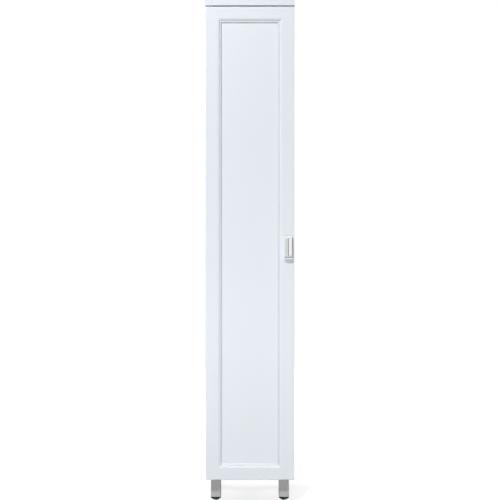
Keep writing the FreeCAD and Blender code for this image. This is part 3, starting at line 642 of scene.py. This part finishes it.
glide = {
    "radius": 0.012,
    "neck": 0.009,
    "height": 0.006,
    "round": 0.0012,
    "centre": 0.002,  # flat in the middle of the underside
    "fall": 1.6,  # power of the curve from the rim to the neck
    "stud": 0.004,
    "pitch": 0.00125,
    "thread": 0.00065,  # depth of the thread
    "roundSteps": 8,
    "fallSteps": 10,
    "turnSteps": 48,
    "pitchSteps": 10,
}


def makeFoot(name, finishes):
    # A turned profile with a thread: the radius falls by the thread's depth in a wave that climbs one pitch
    # a turn, and that runs out over one pitch at both ends of the stud.
    low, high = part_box(name)
    x, y, top = (low.x + high.x) / 2, (low.y + high.y) / 2, high.z - low.z
    lip, pitch = glide["round"], glide["pitch"]
    turn = np.linspace(0, math.pi / 2, glide["roundSteps"])
    rim = glide["radius"] - lip + lip * np.sin(turn)
    shoulder = np.linspace(0, 1, glide["fallSteps"])
    taper = glide["radius"] + (glide["neck"] - glide["radius"]) * shoulder ** glide["fall"]
    rows = int((high.z - glide["height"]) / pitch * glide["pitchSteps"])
    stud = np.linspace(glide["height"], top, rows)
    radius = np.concatenate([[glide["centre"]], rim, taper[1:], np.full(rows, glide["stud"])])
    height = np.concatenate([[0], lip - lip * np.cos(turn),
                             lip + (glide["height"] - lip) * shoulder[1:], stud])
    runOut = np.clip((top - stud) / pitch, 0, 1) * np.clip((stud - glide["height"]) / pitch, 0, 1)
    cut = np.concatenate([np.zeros(len(radius) - rows), runOut])
    angle = np.linspace(0, 2 * math.pi, glide["turnSteps"], endpoint=False)
    climb = height[:, None] / pitch - angle[None, :] / (2 * math.pi)
    wave = 0.5 - 0.5 * np.cos(2 * math.pi * climb)
    chamfer = glide["thread"] * np.clip(1 - (top - height) / pitch, 0, 1)
    reach = radius[:, None] - cut[:, None] * glide["thread"] * wave - chamfer[:, None]
    grid = np.stack([x + reach * np.cos(angle), y + reach * np.sin(angle),
                     np.broadcast_to(low.z + height[:, None], reach.shape)], axis=-1)
    onStud = (height[:-1] >= glide["height"]).astype(int)
    made = ringMesh("screwFoot." + name.removeprefix("foot_"), grid, finishes, onStud)
    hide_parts(name)
    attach(made, name)


# dress every piece

satin = makeFoil()
boards = makeMelamine()
back = makeHardboard()
strip = makeEdging()
plated = makeChrome()
legs = makeLegCoat()
black = makeBlackMould()
hinges = makeNickel()
fittings = makeZinc()
dowelWood = makeBeech()
gel = makePadGel()

corners = ["front_left", "front_right", "rear_left", "rear_right"]
dress(satin, "door")
dress(boards, "top_board", "bottom_board", "left_side", "right_side", "fixed_shelf", "loose_shelf")
dress(back, "back_panel")
dress(strip, "edge_bands")
dress(plated, "handle")
dress(legs, *["leg_" + corner for corner in corners])
dress(black, "leg_plugs", *["foot_" + corner for corner in corners])
dress(hinges, *[name for name in nodes if name.startswith("hinge_")])
dress(fittings, "cam_locks", "cam_bolts", "back_nails", "wall_brackets", "bracket_screws", "leg_screws",
      "handle_screws", "shelf_pins")
dress(dowelWood, "dowels")
dress(gel, "door_bumpers")
makeBow(plated)
for corner in corners:
    makeFoot("foot_" + corner, [black, fittings])
print("pieces dressed")


# studio: floor, world, lamps and camera

studio = {
    "white": (1, 1, 1, 1),
    "ambient": 0.06,  # light that the world throws on the cupboard
    "floorSize": 6.0,
    "floorColour": (0.30, 0.30, 0.30, 1),
    "floorGlow": 0.74,  # how bright the floor looks near the cupboard
    "farGlow": 1.0,  # and far from it
    "glowFrom": 0.5,  # metres from the middle where the glow starts to rise
    "glowTo": 1.6,
    "bounce": 0.064,  # painted bounce light: glow that the floor throws back up
    "shadeFrom": 0.15,  # metres from the middle where that glow fades, as painted shade under the cupboard
    "shadeTo": 0.7,
}
lamps = {  # one with gloss False isn't mirrored in bright metal
    "key": {"at": (-1.25, -4.2, 5.1), "to": (0.0, 0.0, 1.0), "size": (0.4, 0.4), "watts": 200,
            "gloss": False},
    "overhead": {"at": (0.0, -2.4, 5.2), "to": (0.0, -0.1, 0.9), "size": (1.2, 1.2), "watts": 3.6,
                 "gloss": False},
    "nearLeft": {"at": (-0.75, -1.3, 2.5), "to": (0.0, -0.1, 1.7), "size": (0.3, 0.4), "watts": 6.0,
                 "gloss": False},
    "nearLow": {"at": (-0.1, -1.75, 0.55), "to": (0.0, 0.0, 0.15), "size": (0.5, 0.3), "watts": 9.6,
                "gloss": False},
    "rightFill": {"at": (1.9, -2.0, 0.8), "to": (0.0, 0.0, 0.4), "size": (1.0, 1.0), "watts": 2,
                  "gloss": False},
    "left": {"at": (-3.2, 1.2, 2.4), "to": (0.0, 0.0, 1.0), "size": (1.2, 1.2), "watts": 78},
    "right": {"at": (3.2, 1.2, 2.2), "to": (0.0, 0.0, 1.0), "size": (1.2, 1.2), "watts": 70},
    "rear": {"at": (0.3, 4.6, 3.0), "to": (0.0, 0.0, 1.0), "size": (1.6, 1.2), "watts": 90},
    "sky": {"at": (0.0, 0.7, 5.2), "to": (0.0, 0.2, 0.0), "size": (1.6, 1.2), "watts": 10},
}
# painted reflections: glowing sheets that only gloss sees
cards = {
    "greyCard": {"x": (-1.25, 0.02), "y": (-3.6, -3.6), "z": (0.05, 2.6), "glow": 0.78},
    "darkFloorReflection": {"x": (-1.6, 1.6), "y": (-1.7, -0.65), "z": (0.004, 0.004), "glow": 0.08},
    "hood": {"x": (0.3, 1.8), "y": (-3.5, -3.5), "z": (1.75, 2.35), "glow": 0.55},
    "sill": {"x": (0.3, 1.8), "y": (-3.5, -3.5), "z": (0.05, 0.55), "glow": 0.30},
    "rightFlag": {"x": (2.2, 2.2), "y": (-2.0, 1.2), "z": (0.1, 2.3), "glow": 0.03},
}
eye = {
    "distance": 3.0,  # from the door's front
    "aside": 0.0004,
    "height": 1.063,
    "tilt": 0.90,  # degrees down
    "focal": 765.5,  # in pixels
    "pixels": 500,
}


def seenRays(wire):  # 1 for rays from the camera and for those in gloss and glass
    path = wire.node("ShaderNodeLightPath", output="Is Camera Ray")
    glossy = path.maths("MAXIMUM", path, path.other("Is Glossy Ray"))
    return path.maths("MAXIMUM", glossy, path.other("Is Transmission Ray"))


def makeWorld():
    world = bpy.data.worlds.new("studio")
    world.use_nodes = True
    world.node_tree.nodes.clear()
    wire = Wire(world.node_tree)
    strength = studio["ambient"] + seenRays(wire) * (1 - studio["ambient"])
    glow = wire.node("ShaderNodeBackground", {}, {"Color": studio["white"], "Strength": strength})
    wire.node("ShaderNodeOutputWorld", {}, {"Surface": glow})
    scene.world = world


def sheet(name, rim, finish):  # one flat four-cornered piece of the studio
    mesh = bpy.data.meshes.new(name)
    mesh.from_pydata(rim, [], [(0, 1, 2, 3)])
    mesh.materials.append(finish)
    made = bpy.data.objects.new(name, mesh)
    scene.collection.objects.link(made)
    return made


def makeFloor():
    made, wire = blank("floor")
    fromMiddle = wire.node("ShaderNodeVectorMath", {"operation": "LENGTH"}, {0: place(wire)}, "Value")
    rise = steps(wire, fromMiddle, studio["glowFrom"], studio["glowTo"])
    seenGlow = studio["floorGlow"] + rise * (studio["farGlow"] - studio["floorGlow"])
    # painted bounce light: the floor glows for rays that are not camera, gloss or glass rays, with painted
    # shade under the cupboard
    thrown = studio["bounce"] * steps(wire, fromMiddle, studio["shadeFrom"], studio["shadeTo"])
    strength = thrown + (seenGlow - thrown) * seenRays(wire)
    light = wire.node("ShaderNodeEmission", {}, {"Color": studio["white"], "Strength": strength})
    matt = wire.node("ShaderNodeBsdfDiffuse", {}, {"Color": studio["floorColour"]})
    both = wire.node("ShaderNodeAddShader", {}, {0: light, 1: matt})
    wire.node("ShaderNodeOutputMaterial", {}, {"Surface": both})
    half = studio["floorSize"] / 2
    sheet("floor", [(-half, -half, 0), (half, -half, 0), (half, half, 0), (-half, half, 0)], made)


def makeCards():  # cards that only gloss sees: painted reflections, light and dark, in bright metal, as a photographer stands cards round it
    for name, card in cards.items():
        finish, wire = blank(name)
        values = {"Color": studio["white"], "Strength": card["glow"]}
        wire.node("ShaderNodeOutputMaterial", {}, {"Surface": wire.node("ShaderNodeEmission", {}, values)})
        (x0, x1), (y0, y1), (z0, z1) = card["x"], card["y"], card["z"]
        if x0 == x1:  # a card that faces sideways
            rim = [(x0, y0, z0), (x0, y1, z0), (x0, y1, z1), (x0, y0, z1)]
        else:
            rim = [(x0, y0, z0), (x1, y0, z0), (x1, y1, z1), (x0, y1, z1)]
        made = sheet(name, rim, finish)
        made.visible_camera = False
        made.visible_diffuse = False
        made.visible_transmission = False
        made.visible_shadow = False


def aim(thing, at, to):  # stand a lamp at one point and turn it to another
    way = np.array(to, float) - np.array(at, float)
    thing.location = at
    thing.rotation_euler = (math.acos(-way[2] / np.linalg.norm(way)), 0, math.atan2(-way[0], way[1]))


def makeLamps():
    for name, lamp in lamps.items():
        data = bpy.data.lights.new(name, "AREA")
        data.shape = "RECTANGLE"
        data.size, data.size_y = lamp["size"]
        data.energy = lamp["watts"]
        made = bpy.data.objects.new(name, data)
        aim(made, lamp["at"], lamp["to"])
        made.visible_camera = False
        made.visible_glossy = lamp.get("gloss", True)
        scene.collection.objects.link(made)


def makeCamera():
    data = bpy.data.cameras.new("camera")
    data.lens = eye["focal"] * data.sensor_width / eye["pixels"]
    made = bpy.data.objects.new("camera", data)
    made.location = (eye["aside"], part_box("door")[0].y - eye["distance"], eye["height"])
    made.rotation_euler = (math.radians(90 - eye["tilt"]), 0, 0)
    scene.collection.objects.link(made)
    scene.camera = made


makeWorld()
makeFloor()
makeCards()
makeLamps()
makeCamera()
scene.view_settings.view_transform = "Standard"
print("studio ready")
